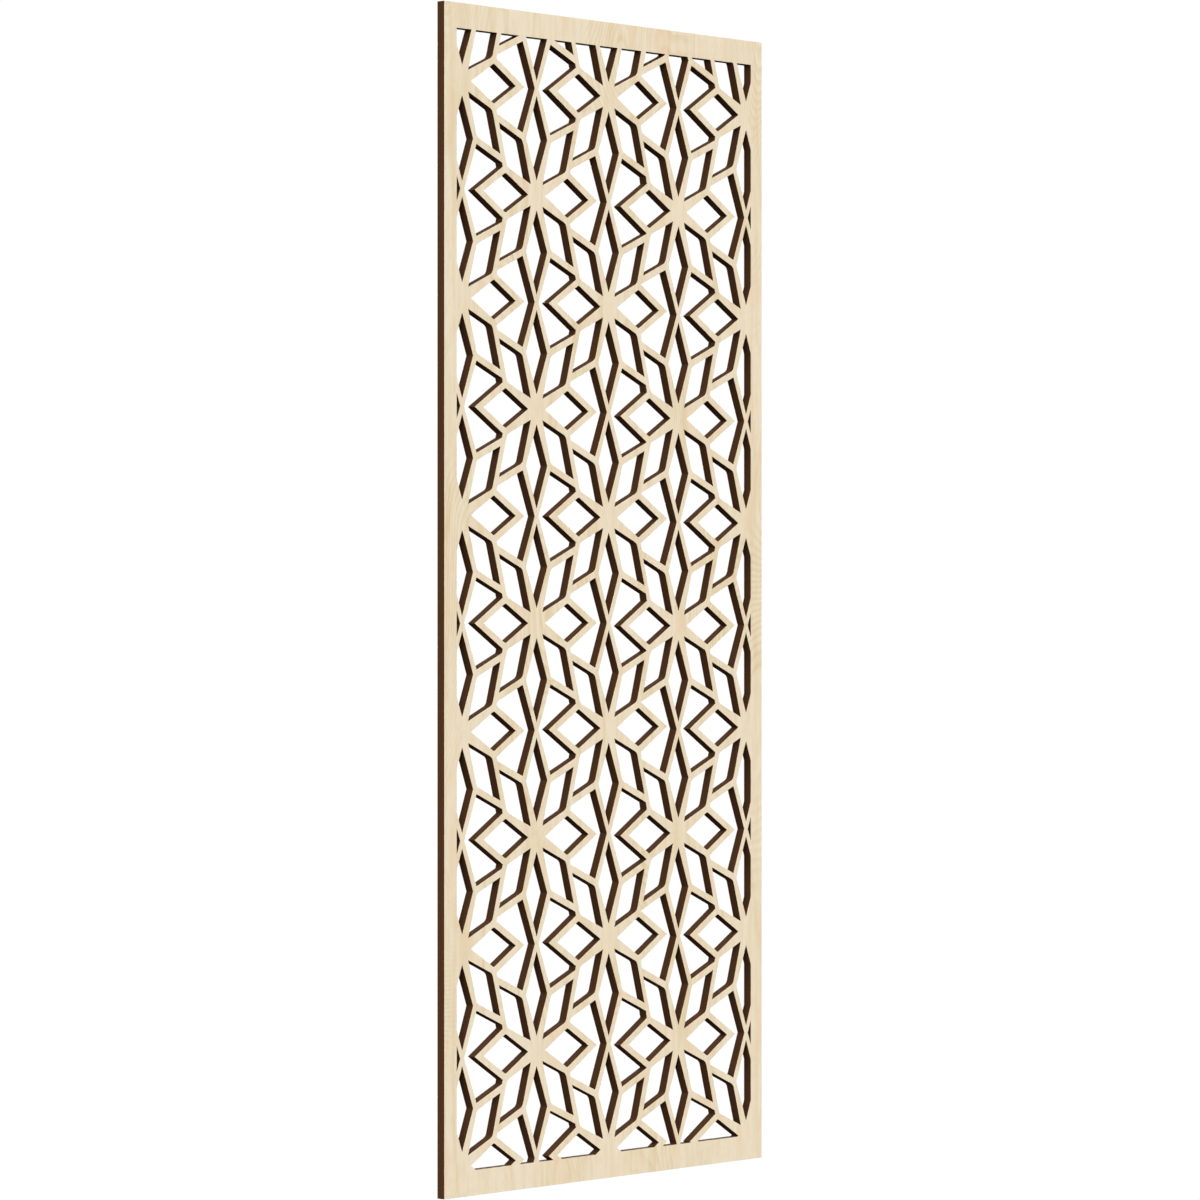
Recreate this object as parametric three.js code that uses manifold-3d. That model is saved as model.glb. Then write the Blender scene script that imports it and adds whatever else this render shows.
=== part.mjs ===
// A mashrabiya screen: one flat wooden panel, pierced right through with a lattice of eight-petalled stars
// and left solid as a rim all round. It is sawn from a single sheet, so it is one solid.
//
// Frame: +X to the right and +Z up as seen from the front, and the front faces -Y. The origin is on the back
// face, in the middle of the top rail, where the panel is fastened to the wall or the frame that holds it.
//
// The pattern is a net of tapering straps that run from node to node. Around every star lie two upright
// petals, four side petals and two diamonds. A chevron wraps the far half of each diamond. All four kinds of
// opening have their corners on the nodes, and each side stands back by half the width of its strap.

import * as THREE from "three";
import { mergeVertices } from "three/addons/utils/BufferGeometryUtils.js";
import Module from "manifold-3d";

const wasm = await Module();
wasm.setup();

// Driving sizes, in millimetres.
const WIDTH = 610;
const HEIGHT = 1524;
const THICKNESS = 12.7;
const SIDE_RIM = 22.3;
const TOP_RIM = 32.5;
const BOTTOM_RIM = 32.5;

// Where the stars stand: in columns, with every second column half a pitch lower than its neighbours.
const COLUMN_PITCH = 136.45;
const STAR_PITCH = 277.5;
const HIGHEST_STAR_BELOW_TOP = 98.3;
const RIGHT_COLUMNS_DROP = 4.3;
const OUTERMOST_COLUMN = 3;
const STARS_PER_COLUMN = 8;

// The nodes around a star, in the quarter to its upper right.
const STAR = point(0, 0);
const PETAL_SIDE = point(23.8, 73.9);
const CROSSING = point(0, STAR_PITCH / 2);
const DIAMOND_SIDE = point(57.9, 30.8);
const DIAMOND_TIP = point(105.8, 0);
const NEXT_STAR = point(COLUMN_PITCH, STAR_PITCH / 2);
const BRACE_ALONG_LINK = 11.3;

// Each strap's width where it leaves its first node and where it reaches its second.
const PETAL_STRAP = [13.3, 6.9];
const CROSSING_STRAP = [7.9, 6.5];
const DIAMOND_STRAP = [16.5, 8];
const TIP_STRAP = [8.7, 8.7];
const LINK = [7.8, 7.8];
const BRACE = [8.8, 8.8];

// The saw rounds some corners: a side petal's two wide corners and a diamond's upper and lower ones.
const SIDE_PETAL_RADIUS = 9;
const DIAMOND_RADIUS = 3.5;
const ARC_STEPS = 5;

// A rim that cuts across the lattice leaves some openings too small for the saw.
const SMALLEST_CORNER_GAP = 0.5;
const SMALLEST_OPENING_AREA = 30;
const SAW_OVERRUN = 5;

const FACE_COLOUR = 0xeadabe;

const left = -WIDTH / 2;
const right = WIDTH / 2;
const top = TOP_RIM / 2;
const bottom = top - HEIGHT;

function point(x, y) {
  return new THREE.Vector2(x, y);
}

function reversed(widths) {
  return [widths[1], widths[0]];
}

// The same node in another quarter around the star: across is -1 on the left, up is -1 below.
function mirrored(node, across, up) {
  return point(node.x * across, node.y * up);
}

// The node as the star in the next column has it, seen from this star. The two stars' nets are the same net
// turned by half a turn about the middle of the link between them.
function fromNextStar(node) {
  return NEXT_STAR.clone().sub(node);
}

// The point where two lines meet, each given as a point and a direction.
function meeting(first, second) {
  const across = first.direction.cross(second.direction);
  const along = second.from.clone().sub(first.from).cross(second.direction) / across;
  return first.from.clone().addScaledVector(first.direction, along);
}

// The corners of the opening that a ring of straps encloses. Side i runs from nodes[i] to the next node, and
// widths[i] are its strap's widths at those two nodes. Each side moves inwards by half its strap, more at the
// wider end, and neighbouring sides meet in the opening's corners.
function openingInside(nodes, widths) {
  const inwards = THREE.ShapeUtils.area(nodes) > 0 ? 1 : -1;
  const sides = nodes.map((start, i) => {
    const end = nodes[(i + 1) % nodes.length];
    const along = end.clone().sub(start).normalize();
    const inward = point(-along.y, along.x).multiplyScalar(inwards);
    const from = start.clone().addScaledVector(inward, widths[i][0] / 2);
    const to = end.clone().addScaledVector(inward, widths[i][1] / 2);
    return { from, direction: to.sub(from) };
  });
  return sides.map((side, i) => meeting(sides.at(i - 1), side));
}

// The same corners with an arc in place of each one that has a radius. radii[i] is nought where corner i
// stays sharp. The arc touches both sides at the same distance from the corner.
function roundedAt(corners, radii) {
  return corners.flatMap((corner, i) => {
    if (radii[i] === 0) {
      return [corner];
    }
    const back = corners.at(i - 1).clone().sub(corner).normalize();
    const ahead = corners[(i + 1) % corners.length].clone().sub(corner).normalize();
    const halfAngle = back.angleTo(ahead) / 2;
    const start = corner.clone().addScaledVector(back, radii[i] / Math.tan(halfAngle));
    const toCentre = back.clone().add(ahead).normalize();
    const centre = corner.clone().addScaledVector(toCentre, radii[i] / Math.sin(halfAngle));
    const sweep = (Math.PI - 2 * halfAngle) * Math.sign(ahead.cross(back));
    const steps = Array.from({ length: ARC_STEPS + 1 }, (_, step) => step / ARC_STEPS);
    return steps.map((part) => start.clone().rotateAround(centre, part * sweep));
  });
}

function uprightPetal(up) {
  const sideRight = mirrored(PETAL_SIDE, 1, up);
  const sideLeft = mirrored(PETAL_SIDE, -1, up);
  const nodes = [STAR, sideRight, mirrored(CROSSING, 1, up), sideLeft];
  return openingInside(nodes, [PETAL_STRAP, CROSSING_STRAP, reversed(CROSSING_STRAP), reversed(PETAL_STRAP)]);
}

// The point on the link between two stars' diamonds where the brace from this star's petal ends. The brace
// reaches past the middle, to just short of the next star's diamond.
function braceEnd() {
  const link = fromNextStar(DIAMOND_SIDE).sub(DIAMOND_SIDE).normalize();
  return fromNextStar(DIAMOND_SIDE.clone().addScaledVector(link, BRACE_ALONG_LINK));
}

function sidePetal(across, up) {
  const nodes = [STAR, PETAL_SIDE, braceEnd(), DIAMOND_SIDE].map((node) => mirrored(node, across, up));
  const corners = openingInside(nodes, [PETAL_STRAP, BRACE, LINK, reversed(DIAMOND_STRAP)]);
  return roundedAt(corners, [0, SIDE_PETAL_RADIUS, 0, SIDE_PETAL_RADIUS]);
}

function diamond(across) {
  const above = mirrored(DIAMOND_SIDE, across, 1);
  const below = mirrored(DIAMOND_SIDE, across, -1);
  const nodes = [STAR, above, mirrored(DIAMOND_TIP, across, 1), below];
  const straps = [DIAMOND_STRAP, reversed(TIP_STRAP), TIP_STRAP, reversed(DIAMOND_STRAP)];
  return roundedAt(openingInside(nodes, straps), [0, DIAMOND_RADIUS, 0, DIAMOND_RADIUS]);
}

// A chevron wraps the tip of the diamond and reaches to the crossing in the next column, which may stand
// higher or lower by the given lift.
function chevron(across, lift) {
  const farHalf = [fromNextStar(braceEnd()), fromNextStar(PETAL_SIDE), fromNextStar(CROSSING)];
  const lifted = (node, up) => mirrored(node, across, up).add(point(0, lift));
  const nodes = [
    mirrored(DIAMOND_TIP, across, 1),
    mirrored(DIAMOND_SIDE, across, 1),
    ...farHalf.map((node) => lifted(node, 1)),
    ...farHalf.slice(0, 2).reverse().map((node) => lifted(node, -1)),
    mirrored(DIAMOND_SIDE, across, -1),
  ];
  const upperHalf = [reversed(TIP_STRAP), LINK, BRACE, CROSSING_STRAP];
  return openingInside(nodes, [...upperHalf, ...upperHalf.map(reversed).reverse()]);
}

function columnDrop(column) {
  return column > 0 ? RIGHT_COLUMNS_DROP : 0;
}

function starPlace(column, row) {
  const halfPitchLower = Math.abs(column % 2) / 2;
  const down = HIGHEST_STAR_BELOW_TOP + (row + halfPitchLower) * STAR_PITCH + columnDrop(column);
  return point(column * COLUMN_PITCH, top - down);
}

// Every opening of one star: its petals, its diamonds and the chevrons beyond them.
function openingsAround(column, row) {
  const openings = [uprightPetal(1), uprightPetal(-1)];
  for (const across of [-1, 1]) {
    const lift = columnDrop(column) - columnDrop(column + across);
    openings.push(diamond(across), sidePetal(across, 1), sidePetal(across, -1), chevron(across, lift));
  }
  const star = starPlace(column, row);
  return openings.map((corners) => corners.map((corner) => corner.clone().add(star)));
}

// The part of a polygon on the inner side of one edge of the lattice field: distance gives how far inside a
// point lies, and a side that crosses the edge is cut where its distance is nought.
function trimmed(corners, distance) {
  const kept = [];
  corners.forEach((corner, i) => {
    const before = corners.at(i - 1);
    const inside = distance(corner);
    const insideBefore = distance(before);
    if (inside * insideBefore < 0) {
      kept.push(before.clone().lerp(corner, insideBefore / (insideBefore - inside)));
    }
    if (inside >= 0) {
      kept.push(corner);
    }
  });
  return kept;
}

function trimmedToField(corners) {
  const edges = [
    (corner) => corner.x - (left + SIDE_RIM),
    (corner) => right - SIDE_RIM - corner.x,
    (corner) => corner.y - (bottom + BOTTOM_RIM),
    (corner) => top - TOP_RIM - corner.y,
  ];
  const inside = edges.reduce(trimmed, corners);
  return inside.filter((corner, i) => corner.distanceTo(inside.at(i - 1)) > SMALLEST_CORNER_GAP);
}

function latticeOpenings() {
  const openings = [];
  for (let column = -OUTERMOST_COLUMN; column <= OUTERMOST_COLUMN; column += 1) {
    for (let row = -1; row < STARS_PER_COLUMN; row += 1) {
      openings.push(...openingsAround(column, row));
    }
  }
  const sawn = openings.map(trimmedToField);
  return sawn.filter((corners) => Math.abs(THREE.ShapeUtils.area(corners)) > SMALLEST_OPENING_AREA);
}

// A straight prism through the panel's thickness, which runs past the faces by the overrun.
function prism(corners, overrun) {
  const depth = THICKNESS + 2 * overrun;
  const geometry = new THREE.ExtrudeGeometry(new THREE.Shape(corners), { depth, bevelEnabled: false });
  geometry.translate(0, 0, -overrun);
  geometry.deleteAttribute("normal");
  geometry.deleteAttribute("uv");
  const merged = mergeVertices(geometry);
  const vertProperties = merged.attributes.position.array;
  const triVerts = new Uint32Array(merged.index.array);
  return new wasm.Manifold(new wasm.Mesh({ numProp: 3, vertProperties, triVerts }));
}

function geometryOf(solid) {
  const { vertProperties, triVerts } = solid.getMesh();
  const geometry = new THREE.BufferGeometry();
  geometry.setAttribute("position", new THREE.BufferAttribute(vertProperties, 3));
  geometry.setIndex(new THREE.BufferAttribute(triVerts, 1));
  return geometry;
}

function fretworkPanel() {
  const sheet = prism([point(left, bottom), point(right, bottom), point(right, top), point(left, top)], 0);
  const cuts = latticeOpenings().map((corners) => prism(corners, SAW_OVERRUN));
  const pierced = cuts.reduce((solid, cut) => solid.subtract(cut), sheet);
  const material = new THREE.MeshStandardMaterial({ color: FACE_COLOUR, roughness: 0.6, metalness: 0 });
  const panel = new THREE.Mesh(geometryOf(pierced), material);
  panel.name = "fretwork_panel";
  panel.rotation.x = Math.PI / 2;
  return panel;
}

const group = new THREE.Group();
group.add(fretworkPanel());

export default group;
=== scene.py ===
"""The finish of a mashrabiya screen: one flat panel of pale veneered board, sawn through with a lattice.

Laid out as a Blender add-on. The panel operator carries an eased edge round every opening and round the rim
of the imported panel, closes its two faces and gives it pale veneer and scorched brown cut walls. The stage
operator adds a pale studio round it.
"""

import math

import bpy
import numpy as np
from bpy.props import FloatProperty, FloatVectorProperty, PointerProperty
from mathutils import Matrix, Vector
from mathutils.geometry import delaunay_2d_cdt


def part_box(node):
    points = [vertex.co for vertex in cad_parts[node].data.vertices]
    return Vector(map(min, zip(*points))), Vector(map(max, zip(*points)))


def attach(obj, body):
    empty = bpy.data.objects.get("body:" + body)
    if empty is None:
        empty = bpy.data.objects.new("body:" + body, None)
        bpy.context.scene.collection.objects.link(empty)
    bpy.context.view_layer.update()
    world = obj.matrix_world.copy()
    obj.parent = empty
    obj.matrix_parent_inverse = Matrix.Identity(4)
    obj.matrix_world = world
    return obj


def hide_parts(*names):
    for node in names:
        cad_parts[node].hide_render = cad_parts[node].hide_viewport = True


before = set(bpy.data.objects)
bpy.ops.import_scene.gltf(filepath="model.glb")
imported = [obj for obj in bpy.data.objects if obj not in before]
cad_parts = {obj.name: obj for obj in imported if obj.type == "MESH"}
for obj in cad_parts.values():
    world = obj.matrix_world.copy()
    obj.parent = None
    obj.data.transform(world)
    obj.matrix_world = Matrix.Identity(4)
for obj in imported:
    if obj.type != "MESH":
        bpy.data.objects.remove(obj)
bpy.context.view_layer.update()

bl_info = {
    "name": "Mashrabiya Screen",
    "version": (1, 0, 0),
    "blender": (4, 5, 0),
    "location": "View3D > Sidebar > Screen",
    "description": "Finishes a pierced wooden screen panel and sets a pale studio round it",
    "category": "Object",
}

NODE = "fretwork_panel"

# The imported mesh's corners count as one where they agree to this many decimals of a metre, and a corner lies
# on the front face when it is no further behind it than this many metres.
SAME_CORNER_DECIMALS = 7
ON_FACE_WITHIN = 1e-6

# Corners of the outline closer than this, in metres, would be one corner of the faces' triangles.
TRIANGLE_TOLERANCE = 1e-9

# A wall turns a corner, and isn't shaded smooth across it, where it bends by more than this.
CORNER_ANGLE = math.radians(30)

# Strength of the white behind and under the object, a little over full white.
WHITE = 1.02


# ---------------------------------------------------------------------------------------------------------
# Settings


class PanelShape(bpy.types.PropertyGroup):
    """Sizes of the panel's hand finish."""

    eased_edge: FloatProperty(
        name="Eased edge",
        description="Radius that sanding leaves on every edge between a face and a cut wall",
        default=0.00025,
        min=0.0,
        subtype="DISTANCE",
        unit="LENGTH",
    )


class VeneerFinish(bpy.types.PropertyGroup):
    """Colours of the pale faces, and how strongly each feature of the grain turns them to straw."""

    pale: FloatVectorProperty(
        name="Pale wood",
        description="Colour of the lighter streaks",
        subtype="COLOR",
        default=(0.925, 0.802, 0.602),
        min=0.0,
        max=1.0,
    )
    straw: FloatVectorProperty(
        name="Straw wood",
        description="Colour of the yellower streaks",
        subtype="COLOR",
        default=(0.800, 0.630, 0.372),
        min=0.0,
        max=1.0,
    )
    blush: FloatVectorProperty(
        name="Blush",
        description="Colour of the faint pink patches",
        subtype="COLOR",
        default=(0.905, 0.680, 0.455),
        min=0.0,
        max=1.0,
    )
    pore: FloatVectorProperty(
        name="Pores",
        description="Colour of the fine darker flecks along the grain",
        subtype="COLOR",
        default=(0.66, 0.50, 0.31),
        min=0.0,
        max=1.0,
    )
    toasted: FloatVectorProperty(
        name="Toasted edge",
        description="Colour of the eased edge, next to the cut",
        subtype="COLOR",
        default=(0.30, 0.19, 0.10),
        min=0.0,
        max=1.0,
    )
    straw_everywhere: FloatProperty(
        name="Straw everywhere",
        description="Share of straw where no feature adds or takes any",
        default=0.06,
    )
    ring_contrast: FloatProperty(
        name="Rings",
        description="Share of straw that a ring's late wood adds where the rings show most",
        default=0.40,
    )
    faint_ring_contrast: FloatProperty(
        name="Faint rings",
        description="Share of straw that a ring's late wood adds everywhere",
        default=0.08,
    )
    streak_contrast: FloatProperty(
        name="Streaks",
        description="Strength of the soft streaks along the grain",
        default=1.15,
    )
    flame_contrast: FloatProperty(
        name="Flames",
        description="Strength of the short flames along the grain",
        default=0.60,
    )
    band_contrast: FloatProperty(
        name="Bands",
        description="Strength of the long upright bands",
        default=0.14,
    )
    vein_contrast: FloatProperty(
        name="Veins",
        description="Strength of the thin long lines",
        default=0.36,
    )


class CutFinish(bpy.types.PropertyGroup):
    """Colours of the walls of the openings and of the panel's outer edge."""

    scorched: FloatVectorProperty(
        name="Scorched wall",
        description="Main colour of the cut walls",
        subtype="COLOR",
        default=(0.094, 0.0405, 0.0168),
        min=0.0,
        max=1.0,
    )
    charred: FloatVectorProperty(
        name="Charred streaks",
        description="Colour of the darker streaks across the cut walls",
        subtype="COLOR",
        default=(0.074, 0.0315, 0.0130),
        min=0.0,
        max=1.0,
    )
    # Painted light: a lighter brown for the panel's outer edge, which stands open to the light while the walls
    # of the openings are partly shaded.
    rim_painted_light: FloatVectorProperty(
        name="Painted light on the rim",
        description="Painted light: the outer edge a shade lighter than the partly shaded walls of the openings",
        subtype="COLOR",
        default=(0.135, 0.0590, 0.0230),
        min=0.0,
        max=1.0,
    )


class StageSettings(bpy.types.PropertyGroup):
    """Camera, lights and floor."""

    camera_turn: FloatProperty(
        name="Camera turn",
        description="How far the camera stands to the left of straight in front",
        default=math.radians(46.63),
        subtype="ANGLE",
        unit="ROTATION",
    )
    camera_distance: FloatProperty(
        name="Camera distance",
        description="From the camera to the point on the panel that it looks at",
        default=6.085,
        subtype="DISTANCE",
        unit="LENGTH",
    )
    aim_left: FloatProperty(
        name="Aim left of middle",
        description="How far left of the panel's middle the camera looks",
        default=0.0169,
        subtype="DISTANCE",
        unit="LENGTH",
    )
    lens: FloatProperty(
        name="Lens",
        description="Focal length on a 36 mm wide sensor",
        default=138.67,
        subtype="DISTANCE_CAMERA",
        unit="CAMERA",
    )
    sky_light: FloatProperty(
        name="Sky light",
        description="Strength of the soft light from every direction above",
        default=1.02,
        min=0.0,
    )
    floor_light: FloatProperty(
        name="Floor light",
        description="Strength of the soft light from every direction below",
        default=0.06,
        min=0.0,
    )
    key_light: FloatProperty(
        name="Key light",
        description="Strength of the soft lamp high in front",
        default=0.67,
        min=0.0,
    )
    fill_light: FloatProperty(
        name="Fill light",
        description="Strength of the soft lamp in front to the right",
        default=1.0,
        min=0.0,
    )
    side_light: FloatProperty(
        name="Side light",
        description="Strength of the low lamp to the left",
        default=0.82,
        min=0.0,
    )
    back_light: FloatProperty(
        name="Back light",
        description="Strength of the soft lamp behind",
        default=2.1,
        min=0.0,
    )
    floor_gap: FloatProperty(
        name="Floor gap",
        description="Height of the hanging panel's lower edge above the floor",
        default=0.02,
        subtype="DISTANCE",
        unit="LENGTH",
    )


# ---------------------------------------------------------------------------------------------------------
# Shader maths


class Level:
    """A number that varies over a surface. Python's operators on it add Math nodes."""

    def __init__(self, graph, socket):
        self.graph = graph
        self.socket = socket

    def _math(self, operation, *values, clamp=False):
        return self.graph.add("ShaderNodeMath", "Value", {"operation": operation, "use_clamp": clamp},
                              **{f"value_{i}": v for i, v in enumerate(values)})

    def __add__(self, other):
        return self._math("ADD", self, other)

    __radd__ = __add__

    def __sub__(self, other):
        return self._math("SUBTRACT", self, other)

    def __rsub__(self, other):
        return self._math("SUBTRACT", other, self)

    def __mul__(self, other):
        return self._math("MULTIPLY", self, other)

    __rmul__ = __mul__

    def absolute(self):
        return self._math("ABSOLUTE", self)

    def fraction(self):
        return self._math("FRACT", self)

    def lower_of(self, other):
        return self._math("MINIMUM", self, other)

    def clamped(self):
        return self._math("ADD", self, 0.0, clamp=True)

    def between(self, low, high):
        """Nought at low, one at high, and smooth between them."""
        return self.graph.add("ShaderNodeMapRange", "Result", {"interpolation_type": "SMOOTHSTEP"},
                              value=self, from_min=low, from_max=high, to_min=0.0, to_max=1.0)


class Graph:
    """The nodes of one material or of the world."""

    def __init__(self, block):
        block.use_nodes = True
        self.block = block
        self.tree = block.node_tree
        self.tree.nodes.clear()

    def add(self, kind, output, settings=None, **inputs):
        """Adds a node. Its settings are set first, then its inputs, each named by its label in lower case
        with underscores, or value_0, value_1 and so on by place where labels repeat. Returns the named
        output."""
        node = self.tree.nodes.new(kind)
        for name, value in (settings or {}).items():
            setattr(node, name, value)
        by_label = {}
        for i, socket in enumerate(node.inputs):
            by_label.setdefault(socket.name.lower().replace(" ", "_"), socket)
            by_label[f"value_{i}"] = socket
        for name, value in inputs.items():
            if isinstance(value, Level):
                self.tree.links.new(value.socket, by_label[name])
            else:
                by_label[name].default_value = value
        return None if output is None else Level(self, node.outputs[output])

    def place(self):
        """Where a point of the piece lies, in metres."""
        return self.add("ShaderNodeTexCoord", "Object")

    def part(self, place, axis):
        return self.add("ShaderNodeSeparateXYZ", axis, vector=place)

    def noise(self, place, to_a_metre, detail=2.0, roughness=0.5, distortion=0.0):
        """Smooth random levels, about 0.5 on the average, with so many blobs to a metre along X, Y and Z."""
        squeezed = self.add("ShaderNodeVectorMath", "Vector", {"operation": "MULTIPLY"},
                            value_0=place, value_1=to_a_metre)
        return self.add("ShaderNodeTexNoise", "Fac", vector=squeezed, scale=1.0, detail=detail,
                        roughness=roughness, distortion=distortion)

    def blend(self, level, first, second):
        """The first colour where the level is nought, and the second where it is one."""
        return self.add("ShaderNodeMix", 2, {"data_type": "RGBA"},
                        value_0=level, value_6=first, value_7=second)

    def bump(self, height, depth):
        """A surface normal for a height from nought to one, which stands for the given depth in metres."""
        return self.add("ShaderNodeBump", "Normal", height=height, distance=depth, strength=1.0)

    def finish(self, **inputs):
        """Closes a material with a Principled shader and returns the material."""
        shader = self.add("ShaderNodeBsdfPrincipled", "BSDF", **inputs)
        self.add("ShaderNodeOutputMaterial", None, surface=shader)
        return self.block


def rgba(colour):
    return (*colour, 1.0)


def veneer_material(finish, low, high, edge):
    """Pale rotary-cut veneer with upright grain.

    The figure is contour lines: a slow hilly field, stretched along the grain, is cut at even heights, and
    each ring darkens slowly to its late wood and then drops back. Elsewhere the rings fade, and soft
    streaks, short flames, blushes, fibres and flecks are left. The two faces read different depths of the
    same fields.
    """
    graph = Graph(bpy.data.materials.new("pale_veneer"))
    place = graph.place()
    hills = graph.noise(place, (4.6, 30.0, 2.1), detail=1.0, roughness=0.4)
    wobble = graph.noise(place, (34.0, 30.0, 16.0), detail=1.0)
    rings_up_the_hills = 88.0
    rings_across = 26.0
    raggedness = 1.3
    rings = hills * rings_up_the_hills + wobble * raggedness + graph.part(place, "X") * rings_across
    ring = rings.fraction()
    late_wood = ring.between(0.20, 0.80) * (1.0 - ring.between(0.82, 1.0))
    shown = graph.noise(place, (11.0, 30.0, 4.2), detail=1.0).between(0.44, 0.66)
    streaks = graph.noise(place, (135.0, 40.0, 4.0), detail=3.0, roughness=0.55)
    flames = graph.noise(place, (170.0, 40.0, 36.0), detail=1.0)
    bands = graph.noise(place, (30.0, 30.0, 1.3), detail=2.0)
    vein_field = graph.noise(place, (15.0, 30.0, 1.7), detail=2.0, roughness=0.4)
    vein_thinness = 30.0
    veins = (1.0 - (vein_field - 0.5).absolute() * vein_thinness).clamped()
    patches = graph.noise(place, (30.0, 30.0, 14.0), detail=2.0, distortion=0.4)
    fibres = graph.noise(place, (900.0, 200.0, 16.0), detail=2.0, roughness=0.6)
    flecks = graph.noise(place, (620.0, 200.0, 75.0), detail=1.0)

    tone = (late_wood * (shown * finish.ring_contrast + finish.faint_ring_contrast)
            + (streaks - 0.5) * finish.streak_contrast
            + (flames - 0.5) * finish.flame_contrast
            + bands.between(0.52, 0.74) * finish.band_contrast
            + veins * finish.vein_contrast
            + finish.straw_everywhere)
    colour = graph.blend(tone.clamped(), rgba(finish.pale), rgba(finish.straw))
    colour = graph.blend(patches.between(0.50, 0.74) * 0.45, colour, rgba(finish.blush))
    pores = flecks.between(0.62, 0.74) * 0.22 + fibres.between(0.55, 0.85) * 0.16
    colour = graph.blend(pores, colour, rgba(finish.pore))

    depth = graph.part(place, "Y")
    below_face = (depth - low.y).lower_of(high.y - depth)
    toasted = below_face.between(0.1 * edge, edge) * 0.35
    colour = graph.blend(toasted, colour, rgba(finish.toasted))

    roughness = fibres * 0.10 + 0.52
    relief = fibres * 0.6 + flecks * 0.4
    fibre_depth = 0.00004
    return graph.finish(base_color=colour, roughness=roughness, normal=graph.bump(relief, fibre_depth),
                        specular_ior_level=0.15)


def cut_material(finish, low, high):
    """Scorched wood on the cut walls: dark tracks run straight through the thickness, because the cutter
    left them, and slow clouds make some stretches darker than others. The outer edge is painted a shade
    lighter, as painted light: it stands open, while the walls of the openings are partly shaded by the wood
    across from them."""
    graph = Graph(bpy.data.materials.new("scorched_cut"))
    place = graph.place()
    tracks = graph.noise(place, (1500.0, 25.0, 1500.0), detail=2.0, roughness=0.6)
    clouds = graph.noise(place, (28.0, 60.0, 28.0), detail=2.0)
    layers = graph.noise(place, (6.0, 700.0, 6.0), detail=1.0)
    across = graph.part(place, "X")
    up = graph.part(place, "Z")
    to_edge = (across - low.x).lower_of(high.x - across).lower_of((up - low.z).lower_of(high.z - up))
    # Painted light: this mask is one on the panel's outer edge, where the wall colour is lifted towards a
    # lighter brown.
    rim_painted_light = 1.0 - to_edge.between(0.0005, 0.0015)
    dark = (tracks * 0.7 + clouds * 0.5 + layers * 0.25 - 0.35).clamped()
    colour = graph.blend(dark, rgba(finish.scorched), rgba(finish.charred))
    # Painted light on the outer edge: the wall colour goes half way to the lighter brown.
    colour = graph.blend(rim_painted_light * 0.5, colour, rgba(finish.rim_painted_light))
    roughness = tracks * 0.15 + 0.72
    relief = tracks * 0.7 + layers * 0.3
    track_depth = 0.00008
    return graph.finish(base_color=colour, roughness=roughness, normal=graph.bump(relief, track_depth),
                        specular_ior_level=0.05)


# ---------------------------------------------------------------------------------------------------------
# The panel


def front_outline(node):
    """The outline of the panel's front face and of every opening in it.

    Returns the corners (x, z) and, for each corner, the number of the next one along its loop, with wood on
    the left as seen from the front. A side belongs to the outline where only one of the face's triangles
    has it.
    """
    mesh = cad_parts[node].data
    mesh.calc_loop_triangles()
    corners = np.empty(len(mesh.vertices) * 3)
    mesh.vertices.foreach_get("co", corners)
    corners = corners.reshape(-1, 3)
    triangles = np.empty(len(mesh.loop_triangles) * 3, int)
    mesh.loop_triangles.foreach_get("vertices", triangles)
    points, same = np.unique(np.round(corners, SAME_CORNER_DECIMALS), axis=0, return_inverse=True)
    triangles = same.ravel()[triangles].reshape(-1, 3)
    on_front = points[:, 1] < points[:, 1].min() + ON_FACE_WITHIN
    triangles = triangles[on_front[triangles].all(axis=1)]
    sides = np.concatenate([triangles, np.roll(triangles, -1, axis=1)], axis=1)
    sides = sides.reshape(-1, 2, 3).transpose(0, 2, 1).reshape(-1, 2)
    code = sides[:, 0] * len(points) + sides[:, 1]
    reverse = sides[:, 1] * len(points) + sides[:, 0]
    sides = sides[~np.isin(code, reverse)]
    used = np.unique(sides)
    following = np.empty(len(used), int)
    following[np.searchsorted(used, sides[:, 0])] = np.searchsorted(used, sides[:, 1])
    return points[used][:, [0, 2]], following


def set_back(outline, following, distance):
    """The outline with both sides at every corner moved into the wood by the distance. A corner moves by
    (n1 + n2) / (1 + n1.n2) times the distance, where n1 and n2 are its two sides' normals."""
    along = outline[following] - outline
    along /= np.linalg.norm(along, axis=1, keepdims=True)
    after = np.stack([-along[:, 1], along[:, 0]], axis=1)
    before = np.empty_like(after)
    before[following] = after
    spread = 1.0 + (before * after).sum(axis=1, keepdims=True)
    return outline + distance * (before + after) / spread


def face_triangles(outline, following):
    """Triangles that fill the wood between the outline's loops. A triangle is wood where a line from its
    middle towards +X crosses the outline an odd number of times."""
    sides = np.stack([np.arange(len(outline)), following], axis=1)
    found = delaunay_2d_cdt([Vector(p) for p in outline], sides.tolist(), [], 1, TRIANGLE_TOLERANCE)
    number = np.array([same[0] for same in found[3]])
    triangles = number[np.array(found[2])]
    middle = outline[triangles].mean(axis=1)[:, None, :]
    start, end = outline, outline[following]
    spans = (start[:, 1] > middle[..., 1]) != (end[:, 1] > middle[..., 1])
    slope = (end[:, 0] - start[:, 0]) / np.where(end[:, 1] == start[:, 1], 1.0, end[:, 1] - start[:, 1])
    crossing = start[:, 0] + (middle[..., 1] - start[:, 1]) * slope
    odd = (spans & (crossing > middle[..., 0])).sum(axis=1) % 2 == 1
    return triangles[odd]


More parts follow.
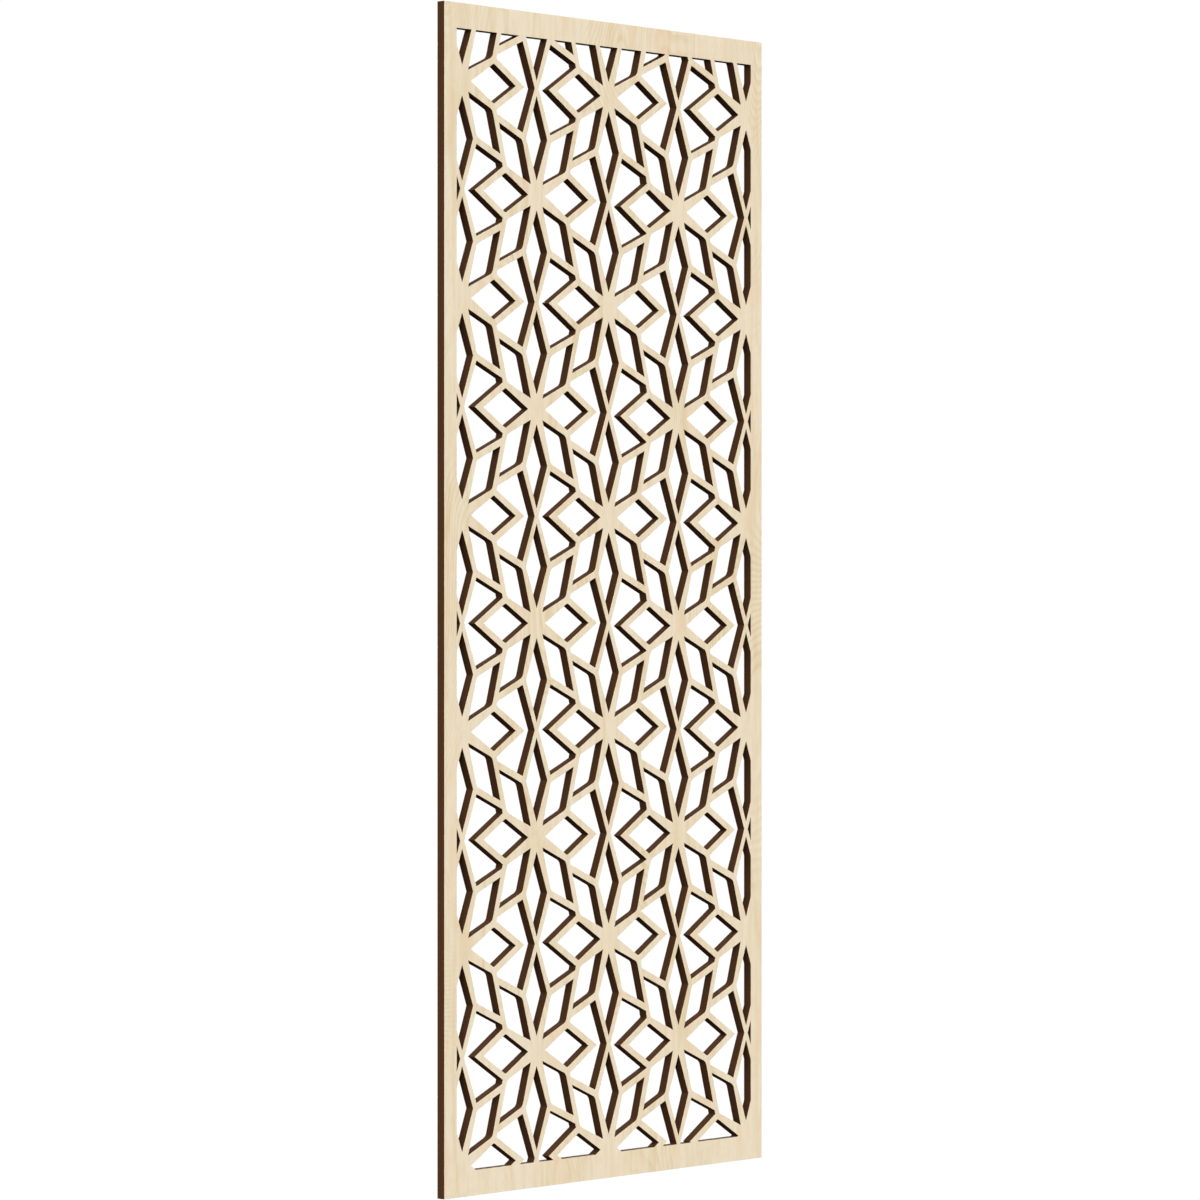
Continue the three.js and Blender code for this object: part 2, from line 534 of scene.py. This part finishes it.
def eased_profile(low, high, radius, steps=4):
    """The section of a cut wall from front face to back face, as (set back, depth) pairs: a quarter circle,
    the straight wall and a quarter circle."""
    turn = np.linspace(0.0, math.pi / 2, steps + 1)
    back_off = radius * (1.0 - np.sin(turn))
    drop = radius * (1.0 - np.cos(turn))
    front = np.stack([back_off, low + drop], axis=1)
    back = np.stack([back_off, high - drop], axis=1)[::-1]
    return np.concatenate([front, back])


def panel_mesh(name, outline, following, profile, materials):
    """Carries the profile along every loop at once, closes both faces and returns the object. The faces are
    shaded flat, so that the rounding of their edges doesn't bend the light over them."""
    count = len(outline)
    rings = [set_back(outline, following, set_in) for set_in, _ in profile]
    points = np.concatenate([
        np.stack([ring[:, 0], np.full(count, depth), ring[:, 1]], axis=1)
        for ring, (_, depth) in zip(rings, profile)
    ])
    corner = np.arange(count)
    quads = np.concatenate([
        np.stack([corner, corner + count, following + count, following], axis=1) + row * count
        for row in range(len(profile) - 1)
    ])
    cap = face_triangles(rings[0], following)
    last = (len(profile) - 1) * count
    faces = [*cap.tolist(), *(cap[:, ::-1] + last).tolist(), *quads.tolist()]
    mesh = bpy.data.meshes.new(name)
    mesh.from_pydata(points.tolist(), [], faces)
    for material in materials:
        mesh.materials.append(material)
    row_of_quad = np.repeat(np.arange(len(profile) - 1), count)
    wall_row = (len(profile) - 2) // 2
    on_wall = row_of_quad == wall_row
    slots = np.concatenate([np.zeros(2 * len(cap), int), on_wall.astype(int)])
    smooth = np.arange(len(slots)) >= 2 * len(cap)
    mesh.polygons.foreach_set("material_index", slots)
    mesh.set_sharp_from_angle(angle=CORNER_ANGLE)
    mesh.polygons.foreach_set("use_smooth", smooth)
    mesh.update()
    piece = bpy.data.objects.new(name, mesh)
    bpy.context.scene.collection.objects.link(piece)
    return piece


class MASHRABIYA_OT_panel(bpy.types.Operator):
    """Make the fretwork panel with its eased edges, veneer faces and scorched cut walls"""

    bl_idname = "mashrabiya.panel"
    bl_label = "Fretwork panel"

    def execute(self, context):
        shape = context.scene.screen_shape
        low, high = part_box(NODE)
        outline, following = front_outline(NODE)
        profile = eased_profile(low.y, high.y, shape.eased_edge)
        veneer = veneer_material(context.scene.screen_veneer, low, high, shape.eased_edge)
        cut = cut_material(context.scene.screen_cut, low, high)
        panel = panel_mesh("sawn_screen_panel", outline, following, profile, [veneer, cut])
        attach(panel, "root")
        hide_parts(NODE)
        return {"FINISHED"}


# ---------------------------------------------------------------------------------------------------------
# The stage


def direction_light(name, towards, strength, softness):
    """A far, soft light that shines along -towards."""
    light = bpy.data.lights.new(name, "SUN")
    light.energy = strength
    light.angle = softness
    lamp = bpy.data.objects.new(name, light)
    lamp.rotation_euler = Vector(towards).to_track_quat("Z", "Y").to_euler()
    bpy.context.scene.collection.objects.link(lamp)
    return lamp


def studio_world(stage):
    """White behind the object, and for the light that falls on it a bright sky over a dim floor."""
    world = bpy.data.worlds.new("studio")
    graph = Graph(world)
    upward = graph.part(graph.add("ShaderNodeTexCoord", "Generated"), "Z")
    light = upward.between(-0.05, 0.60) * (stage.sky_light - stage.floor_light) + stage.floor_light
    lighting = graph.add("ShaderNodeBackground", "Background", color=(1.0, 1.0, 1.0, 1.0), strength=light)
    seen = graph.add("ShaderNodeBackground", "Background", color=(1.0, 1.0, 1.0, 1.0), strength=WHITE)
    from_camera = graph.add("ShaderNodeLightPath", "Is Camera Ray")
    mixed = graph.add("ShaderNodeMixShader", "Shader", value_0=from_camera, value_1=lighting, value_2=seen)
    graph.add("ShaderNodeOutputWorld", None, surface=mixed)
    bpy.context.scene.world = world


def pale_floor(height):
    """A plain pale floor, wide enough to fill every view. It lights nothing."""
    reach = 40.0
    mesh = bpy.data.meshes.new("pale_floor")
    corners = [(-reach, -reach), (reach, -reach), (reach, reach), (-reach, reach)]
    mesh.from_pydata([(x, y, height) for x, y in corners], [], [(0, 1, 2, 3)])
    graph = Graph(bpy.data.materials.new("studio_floor"))
    white = graph.finish(base_color=(0.0, 0.0, 0.0, 1.0), roughness=1.0, specular_ior_level=0.0,
                         emission_color=(1.0, 1.0, 1.0, 1.0), emission_strength=WHITE)
    mesh.materials.append(white)
    floor = bpy.data.objects.new("pale_floor", mesh)
    bpy.context.scene.collection.objects.link(floor)
    floor.visible_diffuse = False
    floor.visible_glossy = False
    floor.visible_shadow = False


def studio_camera(stage, low, high):
    """A level camera at the panel's mid-height, to the left of straight in front."""
    aim = Vector(((low.x + high.x) / 2 - stage.aim_left, low.y, (low.z + high.z) / 2))
    away = Vector((-math.sin(stage.camera_turn), -math.cos(stage.camera_turn), 0.0))
    lens = bpy.data.cameras.new("camera")
    lens.lens = stage.lens
    lens.sensor_width = 36.0
    lens.clip_end = 200.0
    camera = bpy.data.objects.new("camera", lens)
    camera.location = aim + away * stage.camera_distance
    camera.rotation_euler = away.to_track_quat("Z", "Y").to_euler()
    bpy.context.scene.collection.objects.link(camera)
    bpy.context.scene.camera = camera


class MASHRABIYA_OT_stage(bpy.types.Operator):
    """Set the pale studio, its soft lights and the camera"""

    bl_idname = "mashrabiya.stage"
    bl_label = "Studio"

    def execute(self, context):
        stage = context.scene.screen_stage
        low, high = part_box(NODE)
        studio_camera(stage, low, high)
        studio_world(stage)
        pale_floor(low.z - stage.floor_gap)
        direction_light("key_light", (-0.20, -0.75, 0.63), stage.key_light, math.radians(20))
        direction_light("fill_light", (0.35, -0.85, 0.35), stage.fill_light, math.radians(30))
        direction_light("side_light", (-0.90, -0.40, 0.10), stage.side_light, math.radians(30))
        direction_light("back_light", (0.55, 0.82, 0.12), stage.back_light, math.radians(30))
        context.scene.view_settings.view_transform = "Standard"
        return {"FINISHED"}


# ---------------------------------------------------------------------------------------------------------
# The add-on


class MASHRABIYA_PT_sidebar(bpy.types.Panel):
    """The screen's settings and operators"""

    bl_idname = "MASHRABIYA_PT_sidebar"
    bl_label = "Mashrabiya screen"
    bl_space_type = "VIEW_3D"
    bl_region_type = "UI"
    bl_category = "Screen"

    def draw(self, context):
        scene = context.scene
        for title, group, operator in (
            ("Panel", scene.screen_shape, None),
            ("Veneer", scene.screen_veneer, None),
            ("Cut walls", scene.screen_cut, MASHRABIYA_OT_panel.bl_idname),
            ("Studio", scene.screen_stage, MASHRABIYA_OT_stage.bl_idname),
        ):
            box = self.layout.box()
            box.label(text=title)
            for name in group.__annotations__:
                box.prop(group, name)
            if operator:
                box.operator(operator)


GROUPS = {
    "screen_shape": PanelShape,
    "screen_veneer": VeneerFinish,
    "screen_cut": CutFinish,
    "screen_stage": StageSettings,
}
CLASSES = (*GROUPS.values(), MASHRABIYA_OT_panel, MASHRABIYA_OT_stage, MASHRABIYA_PT_sidebar)


def register():
    for cls in CLASSES:
        bpy.utils.register_class(cls)
    for name, group in GROUPS.items():
        setattr(bpy.types.Scene, name, PointerProperty(type=group))


def unregister():
    for name in GROUPS:
        delattr(bpy.types.Scene, name)
    for cls in reversed(CLASSES):
        bpy.utils.unregister_class(cls)


def main():
    register()
    bpy.ops.mashrabiya.panel()
    bpy.ops.mashrabiya.stage()


if __name__ == "__main__":
    main()
